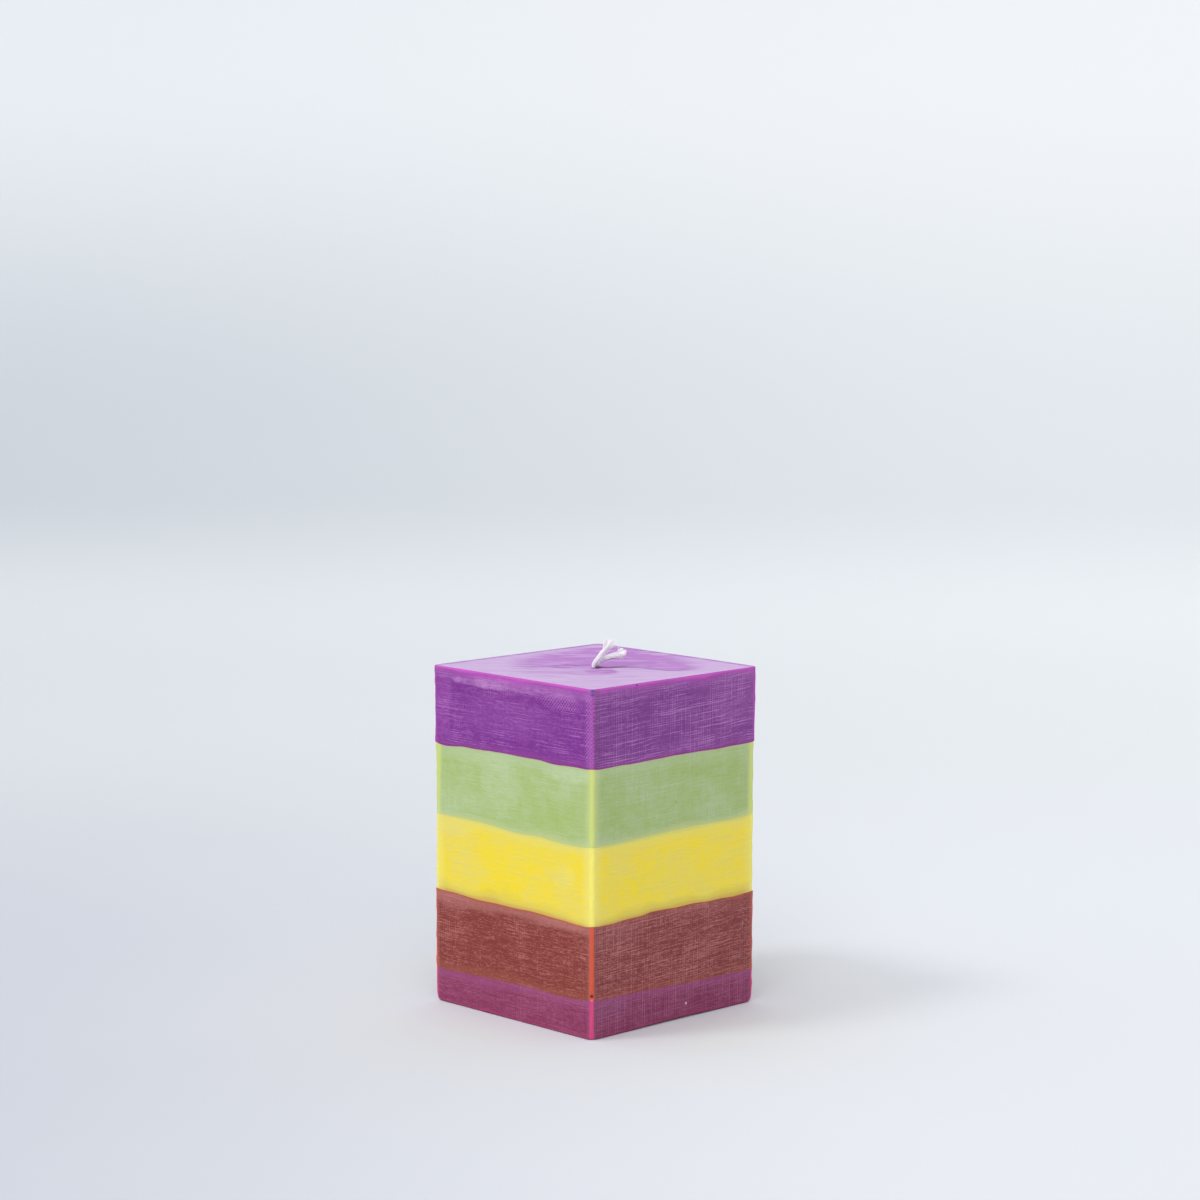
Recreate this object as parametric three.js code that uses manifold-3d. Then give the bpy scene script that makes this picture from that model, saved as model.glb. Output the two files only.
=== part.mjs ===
// Square pillar candle poured in five colours of wax round two lengths of cotton wick.
// Millimetres, +Z up. The origin is the middle of the foot, and the four sides face along X and Y.

import * as THREE from 'three';
import { mergeVertices } from 'three/addons/utils/BufferGeometryUtils.js';
import Module from 'manifold-3d';

const wasm = await Module();
wasm.setup();

// Wax block
const FOOT_WIDTH = 65.6; // across the flat sides at the foot
const RIM_WIDTH = 66.0; // across the flat sides at the rim, wider by the draft of the mould
const CORNER_LEG = 0.9; // leg of the narrow flat down each upright edge
const CORNER_INSET = 0.35; // share of that leg by which the middle of the flat lies inside the sharp corner

// Thickness of each pour at the walls, from the foot up
const PLUM_POUR = 10.45;
const RED_POUR = 22.65;
const YELLOW_POUR = 22.6;
const GREEN_POUR = 21.8;
const VIOLET_POUR = 22.5;

// Seams between the pours: each has a slow wave along X and one along Y, and climbs at the walls
const WAVE_LENGTH = 80;
const CLIMB_REACH = 1.5; // distance from a wall in which the climb falls to about a third
const PLUM_SEAM = { climb: 0.4, waveX: 0.45, startX: 58, waveY: 0.1, startY: 128 };
const RED_SEAM = { climb: 0.6, waveX: 0.38, startX: 94, waveY: 0.45, startY: 72 };
const YELLOW_SEAM = { climb: 0.2, waveX: 0.8, startX: -164, waveY: 0.45, startY: 43 };
const GREEN_SEAM = { climb: 0.5, waveX: 0.24, startX: 71, waveY: 0.2, startY: 75 };

// Open top of the last pour
const TOP_SETTLE = 0.2; // how far the top lies below its rim
const WICK_DIP = 0.3; // further dip of the top round the wick
const WICK_DIP_RADIUS = 14;

// Foot: its edge is rounded, and its corners are worn back further
const FOOT_ROUND = 0.9;
const FOOT_CORNER_WEAR = 1.6; // what the wear adds to the corner leg
const FOOT_CORNER_HEIGHT = 4;

// Wick: two strands side by side along Y in one bore of two lobes
const STRAND_DIAMETER = 1.4;
const STRAND_SPACE = 0.3; // between the two strands
const WICK_CLEARANCE = 0.3; // between a strand and the wax round it
const WICK_OFFSET_Y = 0.45; // the pair stands this far off the middle of the block
const WICK_RECESS = 0.5; // the lower ends stop this far above the foot
const LEAN_ANGLE = 45; // the free ends lean this way, in degrees from +X

// Free ends as [lean, rise above the top of the wax] along each strand, with the frayed tuft at its tip
const TALL_END = {
  path: [[0.05, 0.4], [1.1, 3.1], [2.6, 5.3], [3.6, 6.5]],
  tuftLength: 1.9,
  tuftRadius: 1.5,
};
const SHORT_END = {
  path: [[0.05, 0.4], [0.5, 1.3], [1.5, 2.4], [3.2, 3], [5.15, 3.65]],
  tuftLength: 2.7,
  tuftRadius: 1.5,
};

// How finely the solids are faceted
const INNER_CELLS = 10; // across the block between the outer rows of the grid
const FOOT_STEPS = 3; // up the rounded edge of the foot
const STRAND_SIDES = 12;
const BORE_SIDES = 20;
const STRAND_STEP = 0.6; // along the bent end of a strand

// Rings of a tuft as [share of its length, share of its flare]
const TUFT_PROFILE = [[0.25, 0.3], [0.65, 0.85], [0.9, 1], [1, 0.7]];

const UP = new THREE.Vector3(0, 0, 1);

const HEIGHT = PLUM_POUR + RED_POUR + YELLOW_POUR + GREEN_POUR + VIOLET_POUR;
const STRAND_RADIUS = STRAND_DIAMETER / 2;
const BORE_RADIUS = STRAND_RADIUS + WICK_CLEARANCE;
const STRAND_PITCH = STRAND_DIAMETER + STRAND_SPACE;
const TALL_FOOT_Y = WICK_OFFSET_Y - STRAND_PITCH / 2;
const SHORT_FOOT_Y = WICK_OFFSET_Y + STRAND_PITCH / 2;
const WICK_MOUTH = HEIGHT - TOP_SETTLE - WICK_DIP; // top of the wax where the wick leaves it

// The square section of the block at a height: its half width and the leg of its corner flats
function sectionAt(z) {
  const fullHalf = THREE.MathUtils.lerp(FOOT_WIDTH, RIM_WIDTH, z / HEIGHT) / 2;
  const belowRound = Math.max(0, FOOT_ROUND - z);
  const roundInset = FOOT_ROUND - Math.sqrt(FOOT_ROUND ** 2 - belowRound ** 2);
  const wear = Math.max(0, 1 - z / FOOT_CORNER_HEIGHT) ** 2 * FOOT_CORNER_WEAR;
  return { half: fullHalf - roundInset, leg: CORNER_LEG + wear };
}

// Share of a wall's climb left at a place: 1 in a corner, 0 along a wall and -1 well inside
function climbShare(x, y, half) {
  return Math.exp((Math.abs(x) - half) / CLIMB_REACH) + Math.exp((Math.abs(y) - half) / CLIMB_REACH) - 1;
}

function wave(height, start, place) {
  return height * Math.sin((2 * Math.PI * place) / WAVE_LENGTH + THREE.MathUtils.degToRad(start));
}

// A surface across the block has a level at the walls and a height at each place
function flatSurface(level) {
  return { level, height: () => level };
}

function seamSurface(level, seam) {
  const { half } = sectionAt(level);
  return {
    level,
    height: (x, y) =>
      level +
      seam.climb * climbShare(x, y, half) +
      wave(seam.waveX, seam.startX, x) +
      wave(seam.waveY, seam.startY, y),
  };
}

function openTopSurface(level) {
  const { half } = sectionAt(level);
  return {
    level,
    height: (x, y) => {
      const nearWall = Math.exp((Math.max(Math.abs(x), Math.abs(y)) - half) / CLIMB_REACH);
      const nearWick = Math.exp(-((x * x + (y - WICK_OFFSET_Y) ** 2) / WICK_DIP_RADIUS ** 2));
      return level - (1 - Math.min(1, nearWall)) * (TOP_SETTLE + WICK_DIP * nearWick);
    },
  };
}

// Grid lines across a section: the corner flat, the climb of the wax, then even cells
function gridLines({ half, leg }) {
  const inner = half - leg - CLIMB_REACH;
  const even = Array.from({ length: INNER_CELLS + 1 }, (_, i) => inner * ((2 * i) / INNER_CELLS - 1));
  return [-half, -half + leg, ...even, half - leg, half];
}

// Points of a surface on the grid of its section, with the four corner points drawn in to the corner flats
function surfaceGrid(surface) {
  const section = sectionAt(surface.level);
  const lines = gridLines(section);
  const last = lines.length - 1;
  const inset = section.leg * CORNER_INSET;
  return lines.map((_, i) =>
    lines.map((_, j) => {
      const atCorner = (i === 0 || i === last) && (j === 0 || j === last);
      const x = lines[i] - (atCorner ? Math.sign(lines[i]) * inset : 0);
      const y = lines[j] - (atCorner ? Math.sign(lines[j]) * inset : 0);
      return new THREE.Vector3(x, y, surface.height(x, y));
    }),
  );
}

// The outer points of a grid in order, anticlockwise from above
function ringOf(grid) {
  const last = grid.length - 1;
  const ring = [];
  for (let k = 0; k < last; k += 1) ring.push(grid[k][0]);
  for (let k = 0; k < last; k += 1) ring.push(grid[last][k]);
  for (let k = last; k > 0; k -= 1) ring.push(grid[k][last]);
  for (let k = last; k > 0; k -= 1) ring.push(grid[0][k]);
  return ring;
}

// One pour between two surfaces. Its neighbours take their faces from the same surfaces, so they meet exactly
function pourGeometry(lower, upper, rowHeights = []) {
  const floor = surfaceGrid(lower);
  const roof = surfaceGrid(upper);
  const rows = rowHeights.map((z) => surfaceGrid(flatSurface(z)));
  const rings = [floor, ...rows, roof].map(ringOf);
  const points = [];
  const quad = (a, b, c, d) => points.push(a, b, c, a, c, d);

  for (let i = 0; i < floor.length - 1; i += 1) {
    for (let j = 0; j < floor.length - 1; j += 1) {
      quad(roof[i][j], roof[i + 1][j], roof[i + 1][j + 1], roof[i][j + 1]);
      quad(floor[i][j], floor[i][j + 1], floor[i + 1][j + 1], floor[i + 1][j]);
    }
  }
  for (let r = 0; r < rings.length - 1; r += 1) {
    for (let k = 0; k < rings[r].length; k += 1) {
      const next = (k + 1) % rings[r].length;
      quad(rings[r][k], rings[r][next], rings[r + 1][next], rings[r + 1][k]);
    }
  }
  return new THREE.BufferGeometry().setFromPoints(points);
}

function toSolid(geometry) {
  geometry.deleteAttribute('normal');
  geometry.deleteAttribute('uv');
  const merged = mergeVertices(geometry);
  return new wasm.Manifold(
    new wasm.Mesh({
      numProp: 3,
      vertProperties: new Float32Array(merged.attributes.position.array),
      triVerts: new Uint32Array(merged.index.array),
    }),
  );
}

function toGeometry(solid) {
  const { vertProperties, triVerts } = solid.getMesh();
  const geometry = new THREE.BufferGeometry();
  geometry.setAttribute('position', new THREE.BufferAttribute(vertProperties, 3));
  geometry.setIndex(new THREE.BufferAttribute(triVerts, 1));
  geometry.computeVertexNormals();
  return geometry;
}

// Bore for both strands, longer than the block is high
function wickBore() {
  const lobes = [TALL_FOOT_Y, SHORT_FOOT_Y].map((y) => {
    const lobe = new THREE.CylinderGeometry(BORE_RADIUS, BORE_RADIUS, 2 * HEIGHT, BORE_SIDES);
    lobe.rotateX(Math.PI / 2);
    lobe.translate(0, y, HEIGHT / 2);
    return toSolid(lobe);
  });
  return lobes[0].add(lobes[1]);
}

function waxMesh(name, color, lower, upper, rowHeights) {
  const solid = toSolid(pourGeometry(lower, upper, rowHeights)).subtract(wickBore());
  const material = new THREE.MeshStandardMaterial({ color, roughness: 0.55, metalness: 0 });
  const mesh = new THREE.Mesh(toGeometry(solid), material);
  mesh.name = name;
  return mesh;
}

// Heights of the rings of points up the rounded edge of the foot and its worn corners
function footRows() {
  const round = Array.from({ length: FOOT_STEPS }, (_, k) => {
    const angle = (Math.PI / 2) * ((k + 1) / FOOT_STEPS);
    return FOOT_ROUND * (1 - Math.cos(angle));
  });
  const worn = (FOOT_ROUND + FOOT_CORNER_HEIGHT) / 2;
  return [...round, worn, FOOT_CORNER_HEIGHT];
}

// Rings of a strand: straight up its lobe of the bore, along its bent end, then out through the frayed tuft
function strandRings({ path, tuftLength, tuftRadius }, lean) {
  const bendStart = new THREE.Vector3(0, 0, WICK_MOUTH - STRAND_DIAMETER);
  const bends = path.map(([out, rise]) => lean.clone().multiplyScalar(out).setZ(WICK_MOUTH + rise));
  const curve = new THREE.CatmullRomCurve3([bendStart, ...bends]);
  const steps = Math.ceil(curve.getLength() / STRAND_STEP);
  const tip = curve.getPointAt(1);
  const tipTangent = curve.getTangentAt(1);

  const lower = { centre: new THREE.Vector3(0, 0, WICK_RECESS), tangent: UP, radius: STRAND_RADIUS };
  const bent = Array.from({ length: steps + 1 }, (_, k) => ({
    centre: curve.getPointAt(k / steps),
    tangent: curve.getTangentAt(k / steps),
    radius: STRAND_RADIUS,
  }));
  const frayed = TUFT_PROFILE.map(([along, flare]) => ({
    centre: tip.clone().addScaledVector(tipTangent, along * tuftLength),
    tangent: tipTangent,
    radius: THREE.MathUtils.lerp(STRAND_RADIUS, tuftRadius, flare),
  }));
  return [lower, ...bent, ...frayed];
}

// A strand bends in one upright plane, so every ring shares the level direction across that plane
function strandGeometry(end) {
  const angle = THREE.MathUtils.degToRad(LEAN_ANGLE);
  const lean = new THREE.Vector3(Math.cos(angle), Math.sin(angle), 0);
  const across = UP.clone().cross(lean);
  const rings = strandRings(end, lean);
  const outlines = rings.map(({ centre, tangent, radius }) => {
    const normal = across.clone().cross(tangent).normalize();
    return Array.from({ length: STRAND_SIDES }, (_, k) => {
      const turn = (2 * Math.PI * k) / STRAND_SIDES;
      return centre
        .clone()
        .addScaledVector(normal, radius * Math.cos(turn))
        .addScaledVector(across, radius * Math.sin(turn));
    });
  });

  const points = [];
  const first = outlines[0];
  const last = outlines.at(-1);
  for (let k = 0; k < STRAND_SIDES; k += 1) {
    const next = (k + 1) % STRAND_SIDES;
    points.push(rings[0].centre, first[next], first[k]);
    points.push(rings.at(-1).centre, last[k], last[next]);
    for (let r = 0; r < rings.length - 1; r += 1) {
      const [low, high] = [outlines[r], outlines[r + 1]];
      points.push(low[k], low[next], high[next], low[k], high[next], high[k]);
    }
  }
  return new THREE.BufferGeometry().setFromPoints(points);
}

function strandMesh(name, footY, end) {
  const material = new THREE.MeshStandardMaterial({ color: 0xf2eef2, roughness: 0.95, metalness: 0 });
  const mesh = new THREE.Mesh(toGeometry(toSolid(strandGeometry(end))), material);
  mesh.name = name;
  mesh.position.y = footY;
  return mesh;
}

const foot = flatSurface(0);
const plumTop = seamSurface(PLUM_POUR, PLUM_SEAM);
const redTop = seamSurface(plumTop.level + RED_POUR, RED_SEAM);
const yellowTop = seamSurface(redTop.level + YELLOW_POUR, YELLOW_SEAM);
const greenTop = seamSurface(yellowTop.level + GREEN_POUR, GREEN_SEAM);
const openTop = openTopSurface(HEIGHT);

const candle = new THREE.Group();
candle.add(
  waxMesh('wax_plum_base', 0x924765, foot, plumTop, footRows()),
  waxMesh('wax_brick_red', 0x954e4c, plumTop, redTop),
  waxMesh('wax_yellow', 0xebda54, redTop, yellowTop),
  waxMesh('wax_green', 0xb0c58d, yellowTop, greenTop),
  waxMesh('wax_violet_top', 0x8f479e, greenTop, openTop),
  strandMesh('wick_strand_tall', TALL_FOOT_Y, TALL_END),
  strandMesh('wick_strand_short', SHORT_FOOT_Y, SHORT_END),
);

export default candle;
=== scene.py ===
# Looks of the square pillar candle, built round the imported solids.
# Lengths are in millimetres unless a name says otherwise; meshes are scaled to metres when they are made.

import math
import random
from typing import NamedTuple

import bpy
from mathutils import Matrix, Vector, noise


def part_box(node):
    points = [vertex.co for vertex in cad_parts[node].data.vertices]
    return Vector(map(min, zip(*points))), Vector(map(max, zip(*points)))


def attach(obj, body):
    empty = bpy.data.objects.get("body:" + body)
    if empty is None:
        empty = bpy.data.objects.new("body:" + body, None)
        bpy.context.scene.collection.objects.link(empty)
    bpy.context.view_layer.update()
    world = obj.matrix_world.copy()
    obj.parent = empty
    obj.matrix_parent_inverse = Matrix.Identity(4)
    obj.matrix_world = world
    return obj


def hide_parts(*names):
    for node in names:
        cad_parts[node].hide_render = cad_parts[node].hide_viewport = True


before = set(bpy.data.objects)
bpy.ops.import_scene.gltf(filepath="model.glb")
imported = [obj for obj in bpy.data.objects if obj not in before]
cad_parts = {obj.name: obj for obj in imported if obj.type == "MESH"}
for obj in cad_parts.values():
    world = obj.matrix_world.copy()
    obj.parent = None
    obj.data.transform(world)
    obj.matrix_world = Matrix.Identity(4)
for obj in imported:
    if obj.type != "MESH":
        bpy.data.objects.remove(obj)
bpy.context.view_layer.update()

MM = 0.001
SEED = 7


def level_direction(degrees):
    """Level direction, turned from the part's x axis."""
    return Vector((math.cos(math.radians(degrees)), math.sin(math.radians(degrees)), 0))


# Sizes of the wax block, the first two read from the frame and the rest as in the part's source
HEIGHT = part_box("wax_violet_top")[1].z / MM
RIM_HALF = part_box("wax_violet_top")[1].x / MM
FOOT_HALF = 32.8
CORNER_RADIUS = 0.7
FOOT_ROUND = 0.7
FOOT_CORNER_WEAR = 1.5
FOOT_CORNER_HEIGHT = 4.0
WAVE_LENGTH = 80.0
CLIMB_REACH = 1.5
TOP_SETTLE = 0.2
WICK_DIP = 0.3
WICK_DIP_RADIUS = 14.0

# Wick, as in the part's source
STRAND_RADIUS = 0.7
STRAND_PITCH = 1.7
WICK_OFFSET_Y = 0.45
WICK_RECESS = 0.5
WICK_MOUTH = HEIGHT - TOP_SETTLE - WICK_DIP
LEAN = level_direction(45)

# The camera of the photograph: where it stands, how it is turned, and its lens on a 36 mm frame
CAMERA_PLACE = Vector((671.04, -652.06, 235.46))
CAMERA_AZIMUTH = 45.737
CAMERA_PITCH = 7.08
CAMERA_ROLL = 0.17
CAMERA_LENS = 97.19

# Directions of the photograph on the floor
VIEW_RIGHT = level_direction(CAMERA_AZIMUTH)
VIEW_BACK = Vector((-VIEW_RIGHT.y, VIEW_RIGHT.x, 0))

# Light of the surroundings, how much it leans to the photograph's left, and how bright they are where they
# are seen or mirrored. Lamps are (name, light, angular width, height above the floor, direction round the
# candle from the photograph's right), with all angles in degrees.
WORLD_LIGHT = 0.68
WORLD_LEAN = 0.35
WORLD_SEEN = 0.84
LAMPS = [
    ("side_softbox", 0.52, 15, 51, 197),
    ("front_softbox", 0.9, 50, 28, 268),
]

# How finely the meshes are divided
SIDE_CELLS = 92
CORNER_CELLS = 6
WALL_ROW = 0.8
TOP_LOOPS = 76
HIDDEN_LOOPS = 6


def clamped(value):
    return min(1.0, max(0.0, value))


def eased(share):
    """Share of the way that starts and ends slowly."""
    return share * share * (3 - 2 * share)


def hump(value, middle, spread):
    """Soft hump of a value: 1 at its middle, and little beyond its spread."""
    return math.exp(-(((value - middle) / spread) ** 2))


def photo_place(x, y):
    """Place as (right, back) from the middle of the candle, as the photograph sees it."""
    return x * VIEW_RIGHT.x + y * VIEW_RIGHT.y, x * VIEW_BACK.x + y * VIEW_BACK.y


# Heights and outlines of the wax block

class Seam(NamedTuple):
    """Surface where one pour sets on another."""

    level: float
    climb: float
    waves: tuple
    ragged: float
    ragged_length: float
    touches: list

    def height(self, x, y):
        half = plain_half(self.level)
        climb = math.exp((abs(x) - half) / CLIMB_REACH) + math.exp((abs(y) - half) / CLIMB_REACH) - 1
        z = self.level + self.climb * min(1, climb)
        for place, (size, start) in zip((x, y), self.waves):
            z += size * math.sin(2 * math.pi * place / WAVE_LENGTH + math.radians(start))
        spot = Vector((x / self.ragged_length, y / self.ragged_length, self.level))
        z += self.ragged * (noise.noise(spot) + 0.25 * noise.noise(spot * 3.4))
        for middle_x, middle_y, rise, reach in self.touches:
            z += rise * hump(math.hypot(x - middle_x, y - middle_y), 0, reach)
        return z


class Foot:
    """Flat underside, whose edges lift a little off the floor in the middle of the sides."""

    level = 0.0
    BOWS = {1: (0.4, 1.0, 15.0), 2: (0.25, -3.0, 18.0), 3: (0.3, 4.0, 16.0)}
    REACH = 12.0

    def height(self, x, y):
        lift = 0
        for side, (bow, middle, spread) in self.BOWS.items():
            normal, tangent = SIDES[side]
            along = x * tangent.x + y * tangent.y
            inside = FOOT_HALF - (x * normal.x + y * normal.y)
            lift = max(lift, bow * hump(along, middle, spread) * max(0, 1 - inside / self.REACH) ** 2)
        return lift


def curve_at(knots, place):
    """Height of a smooth curve through the knots at a place, level beyond its ends."""
    if place <= knots[0][0]:
        return knots[0][1]
    for k in range(len(knots) - 1):
        (a, here), (b, there) = knots[k], knots[k + 1]
        if place < b:
            before, after = knots[max(0, k - 1)], knots[min(len(knots) - 1, k + 2)]
            t, span = (place - a) / (b - a), b - a
            leave = (there - before[1]) / (b - before[0]) * span
            arrive = (after[1] - here) / (after[0] - a) * span
            smooth = here + (there - here) * eased(t)
            return smooth + leave * (t ** 3 - 2 * t ** 2 + t) + arrive * (t ** 3 - t ** 2)
    return knots[-1][1]


class OpenTop:
    """Top of the last pour: settled inside its rim, dipped to the wick and creased on both sides of it.

    Places on it are (right, back) from the middle of the candle, as the photograph sees the top."""

    level = HEIGHT
    MAIN_CREASE = [
        (0.5, -2.4), (2.5, -3.8), (4.2, -3.9), (6, -2.8), (8, -2.1), (12, -2.9), (17, -6.4), (22, -9.2),
        (28, -8.2),
    ]
    SIDE_CREASE = [(-15, -1.6), (-11.5, 1.1), (-8, 4.3), (-5.5, 2.5), (-3, 3.4), (-0.8, 2.8)]
    LOW_CREASE = [(-15, -7.5), (-10, -10.5), (-6, -16.0), (-1, -18.5), (4, -17.0)]
    SIDE_RIDGE = [(-13, 5.5), (-10, 7.2), (-6, 9.8), (-1, 10.8)]
    PIT = (0.95, -0.5)
    # Heights of the crest and the valley of the main crease, of the grooves and the ridge left of the wick,
    # of the pit and of the crown at the far edge
    CREST = 0.2
    VALLEY = 0.24
    GROOVE = 0.1
    RIDGE = 0.14
    PIT_DEPTH = 0.5
    CROWN = 0.13
    # Waves all over the top as (height, length, place in the noise)
    UNEVEN = ((0.14, 9, 3), (0.05, 3, 8))
    # Edge of the bare violet wax by direction in degrees: how far out it lies, how softly it ends, how bare
    # it is
    BARE_REACH = [
        (-90, 17), (-60, 11), (-40, 8), (-24, 24), (-8, 30), (20, 29), (47, 31), (68, 35), (88, 40),
        (104, 33), (124, 28), (144, 26), (164, 24), (190, 20), (212, 20), (245, 22), (270, 17),
    ]
    BARE_FADE = [(-90, 6), (-24, 3), (20, 5), (68, 3), (104, 4), (144, 5), (180, 8), (245, 9), (270, 6)]
    BARE_SHARE = [
        (-90, 0.6), (-60, 0.5), (-24, 0.85), (20, 0.9), (68, 1), (120, 0.95), (164, 0.8), (212, 0.6),
        (245, 0.5), (270, 0.6),
    ]

    def main_crease(self, right, back):
        """How far a place lies behind the main crease, and how strong the crease is there."""
        behind = back - curve_at(self.MAIN_CREASE, right)
        return behind, clamped((right + 1) / 3) * hump(max(0, right - 9), 0, 13)

    def main_relief(self, right, back):
        """Share of the crest in front of the main crease and share of the valley behind it."""
        behind, fade = self.main_crease(right, back)
        crest = hump(behind, -1.3, 1.5 if behind < -1.3 else 0.9)
        front = hump(behind, -3.5, 4.5) * 0.6
        valley = math.exp(-behind / 6) if behind > 0 else hump(behind, 0, 0.45)
        return (crest + front) * fade, valley * fade

    def side_relief(self, right, back):
        """Shares of the grooves and of the ridge to the left of the wick."""
        fade = hump(right, -7, 6.5)
        groove = hump(back - curve_at(self.SIDE_CREASE, right), -0.3, 0.8) * fade
        low = hump(back - curve_at(self.LOW_CREASE, right), 0, 0.9) * hump(right, -6, 6)
        return max(groove, 0.7 * low), hump(back - curve_at(self.SIDE_RIDGE, right), 0, 2.6) * fade

    def height(self, x, y):
        right, back = photo_place(x, y)
        half = plain_half(self.level)
        inner = 1 - math.exp(-max(0, half - max(abs(x), abs(y))) / CLIMB_REACH)
        settle = TOP_SETTLE + WICK_DIP * hump(math.hypot(x, y - WICK_OFFSET_Y), 0, WICK_DIP_RADIUS)
        crest, valley = self.main_relief(right, back)
        groove, ridge = self.side_relief(right, back)
        relief = self.CREST * crest - self.VALLEY * valley - self.GROOVE * groove + self.RIDGE * ridge
        relief -= self.PIT_DEPTH * hump(math.hypot(right - self.PIT[0], back - self.PIT[1]), 0, 0.7)
        for size, length, z in self.UNEVEN:
            relief += size * noise.noise(Vector((x / length, y / length, z)))
        crown = self.CROWN * (1 - (x / half) ** 2) * math.exp(-max(0, half - y) / 5)
        return self.level - inner * (settle - relief) + max(0, crown)

    def bloom(self, x, y):
        """How thick the pale bloom lies: thick at the front and sides, thin behind and round the wick, and
        thinned along the far edges as painted shade.
        """
        right, back = photo_place(x, y)
        angle = math.degrees(math.atan2(back, right))
        if angle < -90:
            angle += 360
        beyond = math.hypot(right, back) - curve_at(self.BARE_REACH, angle)
        cover = eased(clamped(0.5 + beyond / (2 * curve_at(self.BARE_FADE, angle))))
        bare = curve_at(self.BARE_SHARE, angle) * (1 - cover)
        crest, _ = self.main_relief(right, back)
        _, ridge = self.side_relief(right, back)
        smear = math.exp(-(((right - 2.1) / 4.0) ** 4)) * hump(back, -10.2, 3.0)
        return 1 - bare + 0.55 * crest + 0.4 * ridge - 2.1 * smear - self.far_rim(x, y)

    def far_rim(self, x, y):
        """Share of the narrow strip along the two far edges, painted darker as shade where their rounding
        turns away.
        """
        return hump(plain_half(self.level) - max(-x, y), 0, 1.2)

    def shade(self, x, y):
        """Painted shade: how dark the bottoms of the creases, the pit beside the wick and the two far edges
        are painted.
        """
        right, back = photo_place(x, y)
        behind, _ = self.main_crease(right, back)
        groove, _ = self.side_relief(right, back)
        depth = hump(max(0, right - 3), 0, 17) if right > 0 else hump(right, 0, 1)
        line = depth * clamped((behind + 1.5) / 0.6) * hump(max(0, behind - 3.0 * depth), 0, 1.2)
        pit = hump(right, self.PIT[0] + 0.35, 1.1) * hump(back, self.PIT[1] - 1.3, 2.3)
        return min(1, 0.9 * line + 0.3 * groove + 4.4 * pit + 0.12 * self.far_rim(x, y))

    def streaked(self, x, y):
        """How much fine dark streaks show: most to the left of the wick and behind the main crease."""
        right, back = photo_place(x, y)
        left = hump(right, -11, 10) * hump(back, 0, 11)
        behind = hump(right, 12, 16) * hump(back, 8, 12)
        return min(1, 0.12 + left + 0.35 * behind)


# Sides as (outward normal, direction of travel), anticlockwise from above
NORMALS = [Vector((0, -1, 0)), Vector((1, 0, 0)), Vector((0, 1, 0)), Vector((-1, 0, 0))]
SIDES = list(zip(NORMALS, NORMALS[1:] + NORMALS[:1]))
# Chip out of the near upright edge, where the red wax meets the plum wax
CHIP = Vector((33.1, -33.1, 12.7))
CHIP_DEPTH = 0.45
CHIP_REACH = 0.7
# Slight lumps of the walls, and wear of the upright edges
LUMP = 0.05
LUMP_LENGTH = 16.0
EDGE_WEAR = 0.16
EDGE_WEAR_LENGTH = 2.6
# How much thinner the strands, and how much wider their bore, are than the plain radius of a strand
BORE_GAP = 0.02


def plain_half(z):
    return FOOT_HALF + (RIM_HALF - FOOT_HALF) * z / HEIGHT


def foot_inset(z):
    below = min(FOOT_ROUND, max(0, FOOT_ROUND - z))
    return FOOT_ROUND - math.sqrt(FOOT_ROUND ** 2 - below ** 2)


def corner_radius(z):
    return CORNER_RADIUS + FOOT_CORNER_WEAR * max(0, 1 - z / FOOT_CORNER_HEIGHT) ** 2


def stations():
    """Places round the block as (side, share along it from -1 to 1, share round the following corner)."""
    found = []
    for side in range(len(SIDES)):
        found += [(side, 2 * cell / SIDE_CELLS - 1, None) for cell in range(SIDE_CELLS)]
        found += [(side, 1.0, cell / CORNER_CELLS) for cell in range(CORNER_CELLS)]
    return found


STATIONS = stations()


def wall_point(station, z, proud):
    """Point of the wall at a station and height, proud of the plain wall, with lumps and worn edges."""
    side, along, across = station
    normal, tangent = SIDES[side]
    half = plain_half(z) - foot_inset(z) + proud
    radius = corner_radius(z)
    if across is None:
        point = normal * half + tangent * along * (half - radius)
        wear = 0.0
    else:
        angle = across * math.pi / 2
        outward = normal * math.cos(angle) + tangent * math.sin(angle)
        point = (normal + tangent) * (half - radius) + outward * radius
        uneven = 0.5 + noise.noise(Vector((side * 7.3, 0.4, z / EDGE_WEAR_LENGTH)))
        wear = EDGE_WEAR * uneven * math.sin(math.pi * across)
    place = Vector((point.x, point.y, z))
    wear += CHIP_DEPTH * hump((place - CHIP).length, 0, CHIP_REACH)
    return point * (1 + (LUMP * noise.noise(place / LUMP_LENGTH) - wear) / half)


def corner_distance(station, z):
    """Distance along the wall from the middle of the nearest rounded upright edge."""
    _, along, across = station
    half_arc = corner_radius(z) * math.pi / 4
    if across is not None:
        return abs(2 * across - 1) * half_arc
    return half_arc + (plain_half(z) - corner_radius(z)) * (1 - abs(along))


def bore_point(station, z):
    """Point of the wick's bore that faces the station: an oval round both strands."""
    outer = wall_point(station, z, 0)
    angle = math.atan2(outer.y, outer.x)
    wide = STRAND_RADIUS + BORE_GAP
    long = STRAND_PITCH / 2 + STRAND_RADIUS
    return Vector((wide * math.cos(angle), WICK_OFFSET_Y + long * math.sin(angle), z))


# Meshes

def add_object(name, data):
    made = bpy.data.objects.new(name, data)
    bpy.context.scene.collection.objects.link(made)
    return made


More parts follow.
